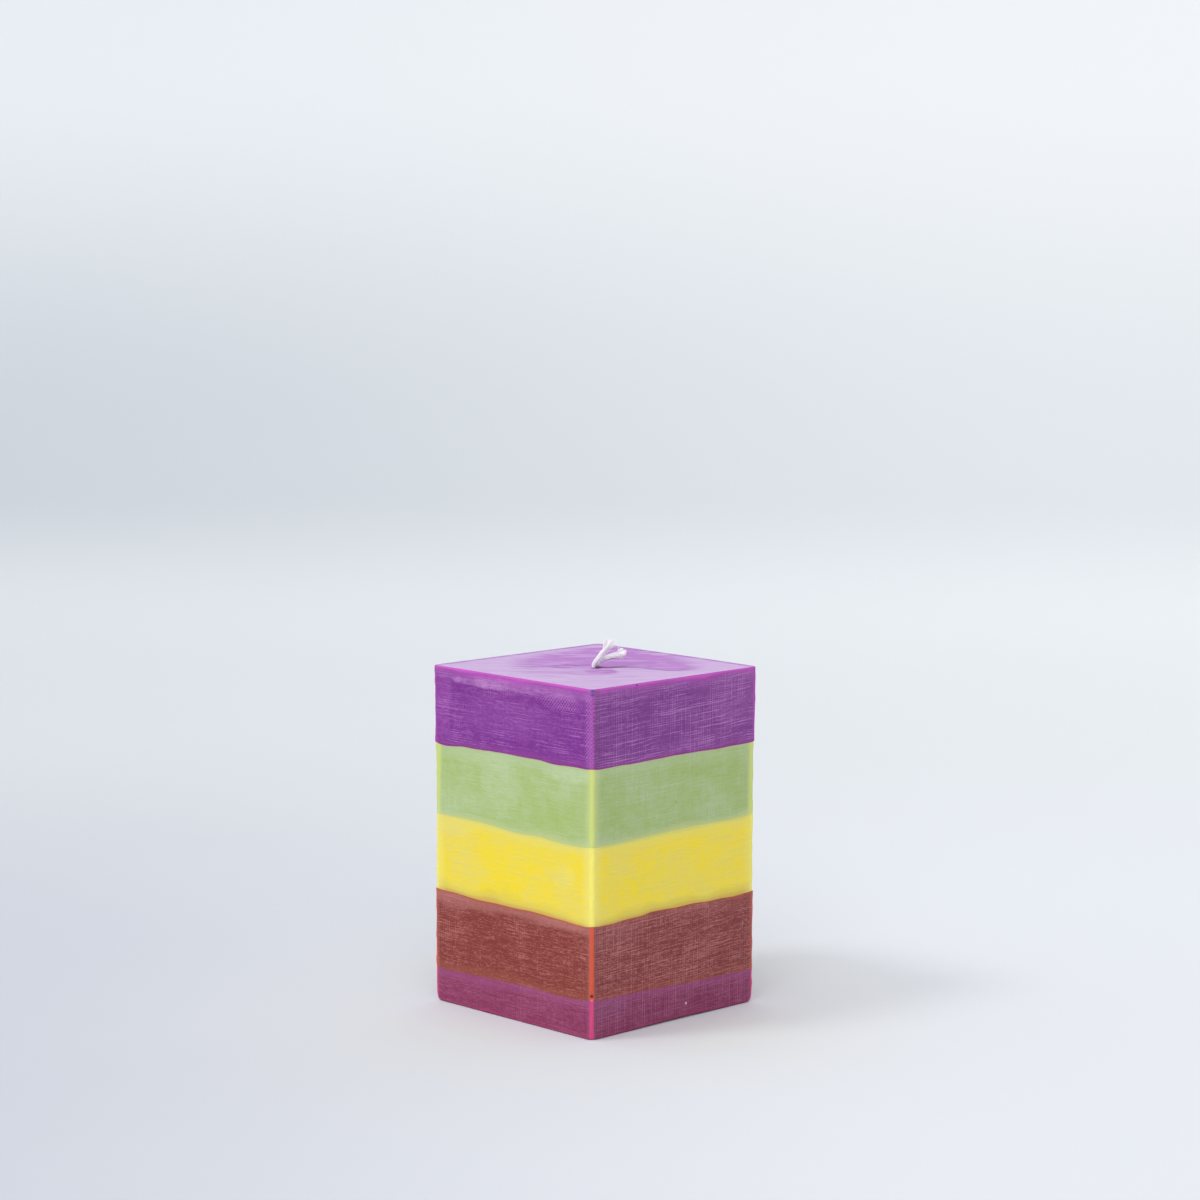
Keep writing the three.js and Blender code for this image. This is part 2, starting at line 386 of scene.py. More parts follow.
def new_object(name, vertices, faces, materials, face_materials=None, attributes=None, sharp=()):
    mesh = bpy.data.meshes.new(name)
    mesh.from_pydata([tuple(v * MM) for v in vertices], [], faces)
    for material in materials:
        mesh.materials.append(material)
    if face_materials:
        mesh.polygons.foreach_set("material_index", face_materials)
    for label, values in (attributes or {}).items():
        mesh.attributes.new(label, "FLOAT", "POINT").data.foreach_set("value", values)
    mesh.polygons.foreach_set("use_smooth", [True] * len(mesh.polygons))
    mesh.update()
    for edge in mesh.edges:
        rings = {vertex // len(STATIONS) for vertex in edge.vertices}
        edge.use_edge_sharp = len(rings) == 1 and rings <= set(sharp)
    return add_object(name, mesh)


def loop_shares(count, dense_rim):
    """Shares of the way from the wall to the bore, closer together at both ends where the surface shows."""
    if not dense_rim:
        return [k / count for k in range(1, count + 1)]
    return [0.5 * (k / count) ** 1.5 + 0.5 * (1 - (1 - k / count) ** 1.5) for k in range(1, count + 1)]


def pour_rings(lower, upper, foot_profile, head_profile, proud):
    """Rings of wall points as lists of (point, depth below the upper surface, lift above the lower one)."""
    low_lift, high_depth = foot_profile[-1][0], head_profile[0][0]
    rows = max(2, round((upper.level - lower.level - low_lift - high_depth) / WALL_ROW))
    places = [("lift", lift, inset) for lift, inset in foot_profile]
    places += [("share", k / rows, 0) for k in range(1, rows)]
    places += [("depth", depth, inset) for depth, inset in head_profile]
    on_floor = lower.level == 0
    rings = []
    for kind, amount, inset in places:
        ring = []
        for station in STATIONS:
            edge = wall_point(station, (lower.level + upper.level) / 2, 0)
            low, high = lower.height(edge.x, edge.y), upper.height(edge.x, edge.y)
            span = high - low - low_lift - high_depth
            z = {"lift": low + amount, "depth": high - amount, "share": low + low_lift + span * amount}[kind]
            point = wall_point(station, z - low if on_floor else z, proud(z) - inset)
            ring.append((Vector((point.x, point.y, z)), high - z, z - low))
        rings.append(ring)
    return rings


# Distance from both seams that is given to the hidden surfaces, so that no band of tint shows in the bore
BURIED = 12.0


def inner_rings(surface, outer, is_top):
    """Rings of one surface from the wall to the bore of the wick."""
    found = []
    for share in loop_shares(TOP_LOOPS if is_top else HIDDEN_LOOPS, is_top):
        ring = []
        for station, (edge, depth, lift) in zip(STATIONS, outer):
            point = edge.lerp(bore_point(station, edge.z), share)
            inside = Vector((point.x, point.y, surface.height(point.x, point.y)))
            ring.append((inside, max(depth, BURIED), max(lift, BURIED)))
        found.append(ring)
    return found


def pour(name, lower, upper, foot_profile, head_profile, proud, materials):
    """One pour of wax as a closed solid: its wall, its upper and lower surfaces and the bore of the wick."""
    is_top = isinstance(upper, OpenTop)
    wall = pour_rings(lower, upper, foot_profile, head_profile, proud)
    over = inner_rings(upper, wall[-1], is_top)
    under = inner_rings(lower, wall[0], False)
    rings = under[::-1] + wall + over
    count = len(STATIONS)
    first_over, last_over = len(under) + len(wall) - 1, len(rings) - 1
    vertices = [point for ring in rings for point, _, _ in ring]
    attributes = {
        "depth": [depth for ring in rings for _, depth, _ in ring],
        "lift": [lift for ring in rings for _, _, lift in ring],
        "corner": [corner_distance(STATIONS[k % count], v.z) for k, v in enumerate(vertices)],
    }
    if is_top:
        for label, share in (("bloom", upper.bloom), ("shade", upper.shade), ("streaked", upper.streaked)):
            attributes[label] = [share(v.x, v.y) for v in vertices]
    faces, face_materials = [], []
    for r in range(len(rings)):
        here, there = r * count, (r + 1) % len(rings) * count
        for k in range(count):
            following = (k + 1) % count
            faces.append((here + k, here + following, there + following, there + k))
            face_materials.append(1 if is_top and first_over <= r < last_over else 0)
    sharp = [len(under)] if is_top else [len(under), first_over]
    return new_object(name, vertices, faces, materials, face_materials, attributes, sharp)


# Node graphs

def linear(colour):
    """Linear colour of an sRGB colour given from 0 to 255."""
    shares = [channel / 255 for channel in colour]
    return [s / 12.92 if s <= 0.04045 else ((s + 0.055) / 1.055) ** 2.4 for s in shares] + [1.0]


class Value:
    """Output of a node, with which sums, differences and products can be written plainly."""

    def __init__(self, graph, socket):
        self.graph = graph
        self.socket = socket

    def __add__(self, other):
        return self.graph.math("ADD", self, other)

    def __sub__(self, other):
        return self.graph.math("SUBTRACT", self, other)

    def __mul__(self, other):
        return self.graph.math("MULTIPLY", self, other)


class Graph:
    """Short ways to add nodes to a material or to the world."""

    def __init__(self, owner):
        owner.use_nodes = True
        self.owner = owner
        self.tree = owner.node_tree

    def link(self, source, socket):
        if isinstance(source, Value):
            self.tree.links.new(source.socket, socket)
        else:
            socket.default_value = source

    def node(self, kind, inputs=(), **settings):
        made = self.tree.nodes.new(kind)
        for label, value in settings.items():
            setattr(made, label, value)
        for socket, value in inputs:
            self.link(value, made.inputs[socket])
        return made

    def output(self, key, kind, inputs=(), **settings):
        """Output of a new node, whose inputs are given as (socket, value)."""
        return Value(self, self.node(kind, inputs, **settings).outputs[key])

    def math(self, operation, a, b=0.0):
        return self.output(0, "ShaderNodeMath", [(0, a), (1, b)], operation=operation)

    def ramp(self, value, low, high, to_low=0.0, to_high=1.0):
        """Smooth step of a value from low to high."""
        inputs = [(0, value), (1, low), (2, high), (3, to_low), (4, to_high)]
        return self.output(0, "ShaderNodeMapRange", inputs, interpolation_type="SMOOTHSTEP")

    def mix(self, factor, a, b):
        """Mix of two colours, each given as a value or as an sRGB colour from 0 to 255."""
        made = self.node("ShaderNodeMix", data_type="RGBA", clamp_factor=True)
        for socket, source in ((0, factor), (6, a), (7, b)):
            self.link(linear(source) if isinstance(source, tuple) else source, made.inputs[socket])
        return Value(self, made.outputs[2])

    def noise(self, vector, scale=1.0, detail=2.0, roughness=0.5):
        """Noise from about -0.5 to 0.5."""
        inputs = [("Vector", vector), ("Scale", scale), ("Detail", detail), ("Roughness", roughness)]
        return self.output(0, "ShaderNodeTexNoise", inputs) - 0.5

    def rows(self, across, along, pitch, thickness, length, sparse, seed):
        """Thin straight lines in rows of uneven strength, broken into stretches."""
        row = across * (1 / pitch) + seed
        number = self.math("FLOOR", row)
        white = self.output("Color", "ShaderNodeTexWhiteNoise", [("W", number)], noise_dimensions="1D")
        chances = self.node("ShaderNodeSeparateColor", [(0, white)]).outputs
        aside, strength = Value(self, chances[0]), Value(self, chances[1])
        distance = self.math("ABSOLUTE", self.math("FRACT", row) - (aside * 0.2 + 0.4))
        line = self.ramp(distance, 0.7 * thickness / pitch, 0.1 * thickness / pitch)
        stretch = self.noise(self.vector(along * (1 / length), number * 3.7, seed), 1.0, 1.0)
        return line * self.ramp(stretch, sparse - 0.1, sparse + 0.12) * (strength * 0.7 + 0.3)

    def drawn(self, along, across, length, width, seed, detail=2.0):
        """Noise drawn out along one direction."""
        return self.noise(self.vector(along * (1 / length), across * (1 / width), seed), 1.0, detail, 0.6)

    def attribute(self, name):
        return self.output("Fac", "ShaderNodeAttribute", attribute_name=name)

    def place(self):
        """Place on the object in millimetres, as a vector and as its three parts."""
        source = self.output("Object", "ShaderNodeTexCoord")
        place = self.output(0, "ShaderNodeVectorMath", [(0, source), ("Scale", 1 / MM)], operation="SCALE")
        parts = self.node("ShaderNodeSeparateXYZ", [(0, place)]).outputs
        return place, [Value(self, part) for part in parts]

    def vector(self, x, y, z):
        return self.output(0, "ShaderNodeCombineXYZ", [(0, x), (1, y), (2, z)])

    def bump(self, height, strength, distance):
        inputs = [("Height", height), ("Strength", strength), ("Distance", distance * MM)]
        self.set(Normal=self.output(0, "ShaderNodeBump", inputs))

    def set(self, **sockets):
        """Give sockets of the material's shader their values, where a name has _ in place of spaces."""
        shader = self.tree.nodes["Principled BSDF"]
        for name, value in sockets.items():
            self.link(value, shader.inputs[name.replace("_", " ")])

    def finish(self, colour, roughness, gloss):
        self.set(Base_Color=colour, Roughness=roughness, Specular_IOR_Level=gloss)
        return self.owner


# Colours of each wax: deep where it is bare, frosted under its bloom. The bare, glossier core of its upright
# edges, painted brighter as if lit through, is (colour, strength, reach at the near edge, reach at the outer
# edges), where a reach is (full until, gone at), and the painted glow of light through the wax beside them
# is (colour, width, strength). The painted shade to the right of the near edge and the painted light and
# shade that set the two side walls apart are (colour, strength). Bands of tint below its upper seam (over)
# and above its lower one (under) are (colour, width, strength on the front and back walls, strength on the
# side walls);
# among them are a painted glow through the thin violet rim, and a painted highlight and a painted contact
# shadow at the plum foot. The rest is how strongly its bloom comes in patches, dashes, hairlines, upright
# threads, scratches and crumbs, and the length and the width (fineness) of the dashes.
WAXES = {
    "plum": dict(
        deep=(132, 42, 84), frosted=(186, 107, 145), core=((212, 66, 120), 0.92, (0.4, 0.9), (0.7, 1.2)),
        glow=((176, 92, 144), 1.8, 0.35), near_shade=((124, 66, 98), 0.3), side=((78, 46, 70), 0.2),
        over=[((162, 82, 136), 2.6, 0.35, 0.35)],
        under=[
            # The second band is a painted highlight on the foot's rounding and the third a painted contact
            # shadow
            ((154, 44, 96), 1.2, 0.45, 0.45), ((202, 80, 130), 0.75, 0.35, 0.2),
            ((82, 16, 48), 0.35, 0.85, 0.95),
        ],
        bloom=0.07, patches=0.2, dashes=0.9, hairs=0.16, threads=0.6, scratches=0.3, crumbs=0.15,
        length=1.8, fineness=0.36,
    ),
    "red": dict(
        deep=(128, 46, 38), frosted=(194, 118, 112), core=((214, 84, 50), 0.95, (0.45, 1.0), (0.6, 1.1)),
        glow=((186, 112, 110), 1.8, 0.45), near_shade=((132, 76, 80), 0.35), side=((44, 87, 127), 0.08),
        over=[((188, 120, 113), 3.0, 0.52, 0.12), ((188, 84, 60), 0.5, 0.55, 0.4)],
        under=[((156, 82, 62), 2.4, 0.4, 0.25)],
        bloom=0.03, patches=0.1, dashes=1.6, hairs=0.2, threads=0.5, scratches=0.5, crumbs=0.45,
        length=1.3, fineness=0.33,
    ),
    "yellow": dict(
        deep=(247, 220, 22), frosted=(227, 213, 118), core=((248, 238, 112), 0.75, (0.3, 1.5), (0.5, 1.8)),
        glow=((242, 232, 136), 4.5, 0.5), side=((255, 236, 90), 0.15),
        over=[((230, 219, 112), 2.4, 0.6, 0.6), ((214, 211, 118), 0.7, 0.6, 0.7)],
        under=[((214, 196, 88), 2.8, 0.6, 0.75), ((208, 160, 86), 1.1, 0.65, 0.55)],
        bloom=0.26, patches=0.7, dashes=0.7, hairs=0.25, threads=0.3, scratches=0.35, crumbs=0.05,
        length=2.2, fineness=0.44,
    ),
    "green": dict(
        deep=(163, 187, 101), frosted=(188, 206, 164), core=((210, 220, 118), 0.8, (0.3, 1.3), (1.2, 2.9)),
        glow=((204, 217, 146), 3.2, 0.55), side=((110, 116, 116), 0.11),
        over=[((188, 206, 166), 2.8, 0.4, 0.25), ((196, 180, 164), 0.35, 0.6, 0.6)],
        under=[((194, 206, 148), 1.6, 0.5, 0.5), ((206, 208, 122), 0.5, 0.6, 0.6)],
        bloom=0.27, patches=0.65, dashes=0.6, hairs=0.22, threads=0.36, scratches=0.2, crumbs=0.1,
        length=2.2, fineness=0.44,
    ),
    "violet": dict(
        deep=(123, 40, 140), frosted=(194, 124, 202), core=((186, 54, 174), 0.95, (-0.1, 0.32), (0.6, 1.1)),
        glow=((172, 90, 178), 1.3, 0.5), near_shade=((112, 62, 116), 0.35), side=((88, 116, 0), 0.1),
        over=[
            ((178, 104, 184), 3.6, 0.3, 0.25), ((182, 72, 176), 1.6, 0.5, 0.5),
            # The last band is a painted glow of light through the thin rim
            ((204, 88, 196), 0.7, 0.95, 0.95),
        ],
        under=[((150, 66, 152), 1.8, 0.35, 0.35), ((140, 46, 118), 0.45, 0.75, 0.75)],
        bloom=-0.01, patches=0.2, dashes=0.6, hairs=0.15, threads=0.45, scratches=0.55, crumbs=0.12,
        length=1.8, fineness=0.4,
    ),
}

# Small marks in the wax, and painted shade and a painted highlight at the chip in the near edge, as (middle,
# radius, colour, strength)
MARKS = {
    "plum": [
        ((33.1, 4.8, 4.4), 0.55, (236, 196, 216), 0.85),
        # Painted highlight just below the chip in the near edge
        ((33.0, -33.0, 11.7), 0.55, (246, 158, 190), 0.95),
    ],
    # Painted shade inside the chip in the near edge
    "red": [((32.6, -32.6, 12.7), 0.75, (104, 16, 12), 0.95)],
    "green": [((33.1, 0.4, 64.0), 0.45, (112, 128, 98), 0.6)],
    "violet": [
        ((-19.8, -33.3, 89.3), 0.5, (90, 26, 108), 0.8),
        ((33.3, -16.0, 99.5), 0.5, (120, 26, 110), 0.9),
        ((33.1, -33.1, 99.6), 0.8, (84, 72, 150), 0.9),
        ((33.0, -33.0, 98.5), 0.75, (84, 62, 146), 0.85),
    ],
}

# Soft patches of tint in the wax as (middle, half sizes, colour, strength)
PATCHES = {
    "plum": [((33, -26, 8.0), (5, 8, 3.5), (144, 88, 126), 0.4)],
    "red": [
        ((-25, -33, 31.0), (9, 5, 3.5), (190, 116, 120), 0.4),
        ((20, -33, 32.0), (12, 5, 2.2), (196, 124, 128), 0.3),
        ((33, -24, 29.0), (6, 12, 6.0), (166, 108, 112), 0.25),
        ((33, 10, 31.0), (6, 18, 4.0), (160, 96, 102), 0.08),
    ],
    "yellow": [
        ((-25, -33, 53.0), (10, 5, 3.0), (234, 222, 128), 0.5),
        ((22, -33, 45.0), (5, 5, 4.0), (242, 228, 132), 0.3),
        ((33, -18, 50.0), (6, 9, 5.0), (244, 212, 76), 0.25),
    ],
    "green": [
        ((-5, -33, 67.5), (9, 5, 10.0), (204, 218, 184), 0.26),
        ((23, -33, 74.6), (10, 5, 2.6), (208, 221, 186), 0.4),
        ((-10, -33, 74.5), (14, 5, 2.8), (202, 216, 178), 0.3),
    ],
    "violet": [
        ((4, -33, 97.4), (38, 5, 2.0), (192, 128, 198), 0.45),
        ((-12, -33, 96.8), (13, 5, 1.6), (206, 150, 208), 0.45),
        ((-6, -33, 99.0), (18, 5, 1.5), (204, 84, 194), 0.45),
        ((-2, -33, 88.0), (22, 6, 7.0), (172, 96, 182), 0.2),
        ((-29, -33, 90.0), (4, 5, 13.0), (168, 84, 176), 0.35),
        ((33, 25, 92.0), (6, 13, 11.0), (178, 104, 182), 0.25),
        ((33, 12, 80.5), (6, 22, 2.5), (168, 92, 170), 0.15),
    ],
}

# Patch of fine slanting lines that the mould left in the violet wax near the rim: middle, half sizes,
# distance between the lines
HATCHING = ((20.5, -33.0, 95.0), (11.0, 6.0, 2.8), 1.1)


# Slope of the lines on the side walls by distance round the wall, and how much stronger they are there
LINE_SLOPE = -0.028
SIDE_CONTRAST = 0.25


def wall_lines(graph, wax, round_wall, z, side_wall, large, middling):
    """Fine lines in the bloom: dashes, level hairlines, upright threads, and scratches that rise a little.

    Gives all of them together, and the dashes by themselves."""
    slope = round_wall * side_wall * LINE_SLOPE
    slant = z + large + slope
    steeper = slant + slope * 1.2 + large * 1.2
    dashes = graph.drawn(round_wall, slant, wax["length"], wax["fineness"], 2.7, 3.0)
    dashes += graph.drawn(round_wall, slant, 8.0, 0.4, 8.2) * 0.6
    hairs = graph.ramp(graph.drawn(round_wall, slant, 20.0, 0.38, 11.3), 0.03, 0.15)
    threads = graph.drawn(z, round_wall, 7.0, 0.38, 41.7)
    threads += graph.rows(round_wall, z, 0.9, 0.36, 14.0, -0.06, 5.1)
    threads *= graph.ramp(large + side_wall * 0.2, 0.0, 0.35, 0.2, 1.0)
    scratches = graph.rows(slant, round_wall, 0.7, 0.28, 15.0, 0.0, 23.4)
    scratches += graph.rows(steeper, round_wall, 1.1, 0.28, 11.0, 0.02, 61.2)
    scratches *= graph.ramp(middling + large + side_wall * 0.2, -0.15, 0.25, 0.1, 1.0)
    lines = dashes * wax["dashes"] + hairs * wax["hairs"]
    lines += threads * wax["threads"] + scratches * wax["scratches"]
    return lines * (side_wall * SIDE_CONTRAST + 1.0), dashes


def crumbs_of(graph, wax, round_wall, z, middling):
    """Pale crumbs and short slanting dashes, in patches."""
    rising, falling = round_wall + z, round_wall - z
    leaning = graph.noise(graph.vector(rising * 1.5, falling * 0.6, 0.0), 1.0, 1.0)
    counter = graph.noise(graph.vector(falling * 1.7, rising * 0.7, 9.0), 1.0, 1.0)
    dashes = graph.ramp(leaning, 0.06, 0.2) + graph.ramp(counter, 0.07, 0.2)
    return dashes * graph.ramp(middling, -0.08, 0.1, 0.25, 1.0) * (0.55 * wax["crumbs"])


def oval(graph, parts, middle, halves, ragged):
    """Share of a soft oval patch, 1 in its middle."""
    reach = ragged
    for value, place, half in zip(parts, middle, halves):
        share = (value - place) * (1 / half)
        reach = share * share + reach
    return graph.ramp(reach, 1.15, 0.1)


def hatching(graph, parts, corner, ragged):
    """Fine slanting lines, crossed towards the near upright edge, shown in an oval and along that edge."""
    x, y, z = parts
    middle, halves, pitch = HATCHING
    rising, falling = (graph.math("SINE", (x + z * slant) * (2 * math.pi / pitch)) for slant in (-0.9, 0.9))
    crossed = falling * graph.ramp(x, 12.0, 24.0, 0.1, 1.0)
    edge = graph.ramp(x, 28.0, 31.0) * graph.ramp(y, -32.0, -32.8) * graph.ramp(corner, 3.2, 2.0)
    shown = graph.math("MAXIMUM", oval(graph, parts, middle, halves, ragged), edge)
    return graph.math("MAXIMUM", rising, crossed) * shown


def edges_with_painted_light_and_shade(graph, wax, colour, corner, near, side_wall, large, grain):
    """Upright edges: painted shade right of the near edge, a soft painted glow on both sides and a clean
    core of bare wax painted brighter.
    """
    loose = corner + large * 1.2 + grain * 0.7
    glow_tint, width, glow_strength = wax["glow"]
    from_glow = loose
    # Painted shade on the side wall just right of the near edge
    if "near_shade" in wax:
        tint, strength = wax["near_shade"]
        right_of_near = near * side_wall
        colour = graph.mix(right_of_near * graph.ramp(loose, 3.2, 1.2, 0.0, strength), colour, tint)
        from_glow = loose + right_of_near * (0.45 * width)
    # Painted glow of light through the wax beside the upright edges
    colour = graph.mix(graph.ramp(from_glow, width + 0.5, 0.5, 0.0, glow_strength), colour, glow_tint)
    # Clean core of bare, glossier wax, painted brighter as if lit through
    tint, strength, near_reach, far_reach = wax["core"]
    full, gone = (near * (at_near - at_far) + at_far for at_near, at_far in zip(near_reach, far_reach))
    core = graph.ramp(loose, gone, full, 0.0, strength)
    return graph.mix(core, colour, tint), core


def wax_wall(name):
    """Moulded wall of one wax: frosty bloom in dashes, hairlines and scratches, clean glossier edges, and
    painted light and shade at the edges, on the side walls and at the foot.
    """
    wax = WAXES[name]
    graph = Graph(bpy.data.materials.new("wax_" + name))
    place, (x, y, z) = graph.place()
    side_wall = graph.math("GREATER_THAN", graph.math("ABSOLUTE", x), graph.math("ABSOLUTE", y))
    depth, lift, corner = (graph.attribute(label) for label in ("depth", "lift", "corner"))
    near = graph.ramp(x - y, 52.0, 58.0)
    round_wall = x + y
    large = graph.noise(place, 0.06, 2.0, 0.5)
    middling = graph.noise(place, 0.22, 2.0, 0.6)
    grain = graph.noise(place, 1.7, 3.0, 0.65)
    lines, dashes = wall_lines(graph, wax, round_wall, z, side_wall, large, middling)
    crumbs = crumbs_of(graph, wax, round_wall, z, middling)
    loose = middling * 1.8

    bloom = large * (1.3 * wax["patches"]) + middling * (0.7 * wax["patches"]) + wax["bloom"]
    bloom += grain * 0.6 + lines + crumbs
    if name == "violet":
        bloom += hatching(graph, (x, y, z), corner, loose) * 0.5
    deep = wax["deep"]
    streaky = dashes * 2.5 + 1.0
    for middle, halves, tint, strength in PATCHES[name]:
        share = oval(graph, (x, y, z), middle, halves, loose) * streaky
        deep = graph.mix(share * strength, deep, tint)
    colour = graph.mix(bloom, deep, wax["frosted"])
    # Painted light and shade that set the two side walls apart from the front and back walls
    tint, strength = wax["side"]
    colour = graph.mix(side_wall * strength, colour, tint)

    wide = large * 2.2 + 1.0
    for distance, bands in ((depth, wax["over"]), (lift, wax["under"])):
        ragged = distance * wide + grain * 0.45
        for tint, width, strength, on_side in bands:
            most = side_wall * (on_side - strength) + strength
            colour = graph.mix(graph.ramp(ragged, width * 1.3, width * 0.4, 0.0, most), colour, tint)
    colour, core = edges_with_painted_light_and_shade(graph, wax, colour, corner, near, side_wall, large, grain)
    for middle, radius, tint, strength in MARKS.get(name, []):
        ends = [(0, place), (1, middle)]
        offset = graph.output("Value", "ShaderNodeVectorMath", ends, operation="DISTANCE")
        colour = graph.mix(graph.ramp(offset, radius, radius * 0.3, 0.0, strength), colour, tint)
    graph.bump(lines * 0.8 + crumbs + grain * 0.8, 0.8, 0.1)
    return graph.finish(colour, core * -0.2 + 0.62, 0.35)


def wax_top():
    """Open top of the violet wax under a pale bloom, which is thin behind, with painted shade in the creases
    and the pit.
    """
    graph = Graph(bpy.data.materials.new("wax_violet_bloom"))
    place, (x, y, _) = graph.place()
    right, back = photo_place(x, y)
    large = graph.noise(place, 0.08, 3.0, 0.6)
    flow = graph.noise(graph.vector(right * 0.12, back * 0.3, 0.0), 1.0, 3.0, 0.62)
    fine_flow = graph.noise(graph.vector(right * 0.4, back * 0.8, 5.0), 1.0, 2.0, 0.6)
    grain = graph.noise(place, 1.7, 2.0, 0.6)
    bloom = graph.attribute("bloom") + large * 0.6 + flow * 0.8 + fine_flow * 0.5 + grain * 0.35
    colour = graph.mix(bloom, (188, 116, 204), (213, 180, 226))
    dark = graph.ramp(graph.drawn(right, back, 13.0, 3.0, 3.1), 0.03, 0.11) * graph.attribute("streaked")
    colour = graph.mix(dark * 0.9, colour, (164, 96, 186))
    pale = graph.ramp(graph.drawn(right, back, 16.0, 3.4, 17.6), 0.04, 0.13)
    colour = graph.mix(pale * 0.4, colour, (226, 200, 236))
    # Painted shade in the creases, the pit beside the wick and along the far edges
    colour = graph.mix(graph.attribute("shade"), colour, (96, 36, 104))
    graph.bump(flow + grain * 0.3, 0.5, 0.12)
    return graph.finish(colour, 0.55, 0.35)


def cotton():
    """White waxed cotton, tinted by the violet wax where it leaves the candle, and tinted as painted shade
    under the bent strand.
    """
    graph = Graph(bpy.data.materials.new("cotton_wick"))
    place, _ = graph.place()
    speckle = graph.noise(place, 2.4, 3.0, 0.6)
    colour = graph.mix(speckle + 0.7, (250, 246, 252), (255, 255, 255))
    # Violet wax taken up at the mouth, and painted shade under the bent strand and partly between the
    # strands
    colour = graph.mix(graph.attribute("soak_and_shade"), colour, (126, 54, 120))
    graph.bump(speckle, 0.2, 0.02)
    graph.set(Sheen_Weight=1.0, Sheen_Roughness=0.5)
    return graph.finish(colour, 0.8, 0.3)


def studio_paper():
    """Pale paper with painted light: it grows lighter towards the right, the back and the top of the
    backdrop.
    """
    graph = Graph(bpy.data.materials.new("studio_paper"))
    place, (x, y, z) = graph.place()
    right, back = photo_place(x, y)
    rightward = right + graph.noise(place, 0.01, 2.0, 0.5) * 30.0
    floor_share = graph.ramp(rightward, -220.0, 110.0)
    wall_share = graph.ramp(rightward, -460.0, 400.0)
    front = graph.mix(floor_share, (214, 217, 226), (240, 242, 248))
    rear = graph.mix(wall_share, (223, 227, 231), (238, 241, 244))
    middle = graph.mix(wall_share, (203, 207, 213), (222, 226, 230))
    high = graph.mix(wall_share, (226, 230, 234), (234, 236, 238))
    colour = graph.mix(graph.ramp(back, 40.0, 500.0), front, rear)
    colour = graph.mix(graph.ramp(z, 0.0, 60.0), colour, middle)
    colour = graph.mix(graph.ramp(z, 90.0, 330.0), colour, high)
    return graph.finish(colour, 0.9, 0.2)


# Wick

STRAND_SIDES = 20
PLIES = 3
FIBRE_SIDES = 5
FIBRE_STEPS = 7
FIBRE_RADIUS = 0.05
STRAY_RADIUS = 0.036
STRAY_STEP = 0.5
INSIDE_STEP = 2.0
OUTSIDE_STEP = 0.22

# Each strand above the mouth of the bore, in knots of (out, rise, half width): its middle line, its tip,
# and the lobes of its fan or tuft. Then its share of violet wax, how many fibres lie along it, its brushes
# of fibres as (count, share of its width where they start, direction in degrees above level, length,
# spread, radius), and its strays as (knots of (out, rise, deep), count, radius, share of violet tint,
# wander). The violet tint of the strays is wax taken up; under the bent strand it is painted shadow, and
# between the strands it is partly wax and partly painted shade.
VEIL = [(0.95, 1.0, 0), (1.5, 2.2, 0), (2.5, 3.4, 0), (3.6, 4.6, 0), (4.7, 5.6, 0), (5.9, 6.4, 0)]
TALL = dict(
    foot_y=WICK_OFFSET_Y - STRAND_PITCH / 2,
    line=[
        (-0.12, -0.3, 0.5), (-0.18, 0.4, 0.52), (-0.02, 1.1, 0.56), (0.6, 1.95, 0.6), (1.42, 3.0, 0.62),
        (2.36, 4.4, 0.64), (3.1, 5.2, 0.7), (3.55, 5.75, 0.82),
    ],
    tip=[(3.95, 6.3, 0.84), (4.3, 6.85, 0.8), (4.6, 7.4, 0.7), (4.78, 7.9, 0.55), (4.86, 8.25, 0.25)],
    lobes=[
        [(3.1, 5.3, 0.45), (3.05, 6.1, 0.5), (2.95, 6.9, 0.4), (2.85, 7.6, 0.3), (2.8, 8.05, 0.12)],
        [(3.7, 5.7, 0.5), (4.7, 6.2, 0.6), (5.4, 6.6, 0.5), (5.9, 6.9, 0.36), (6.2, 7.1, 0.12)],
        [(4.3, 6.8, 0.5), (4.9, 7.3, 0.5), (5.4, 7.8, 0.36), (5.6, 8.1, 0.14)],
    ],
    soaked=0.15,
    along=60,
    brushes=[(120, 1.2, 62, 2.9, 14, 0.05), (30, 0.8, 100, 2.4, 6, 0.05), (50, 1.1, 34, 2.7, 9, 0.045)],
    # The second strays, between the strands, are tinted partly by wax taken up and partly as painted shade
    strays=[(VEIL, 30, STRAY_RADIUS, 0.02, 0.24), (VEIL[:4], 10, STRAY_RADIUS, 0.3, 0.12)],
)
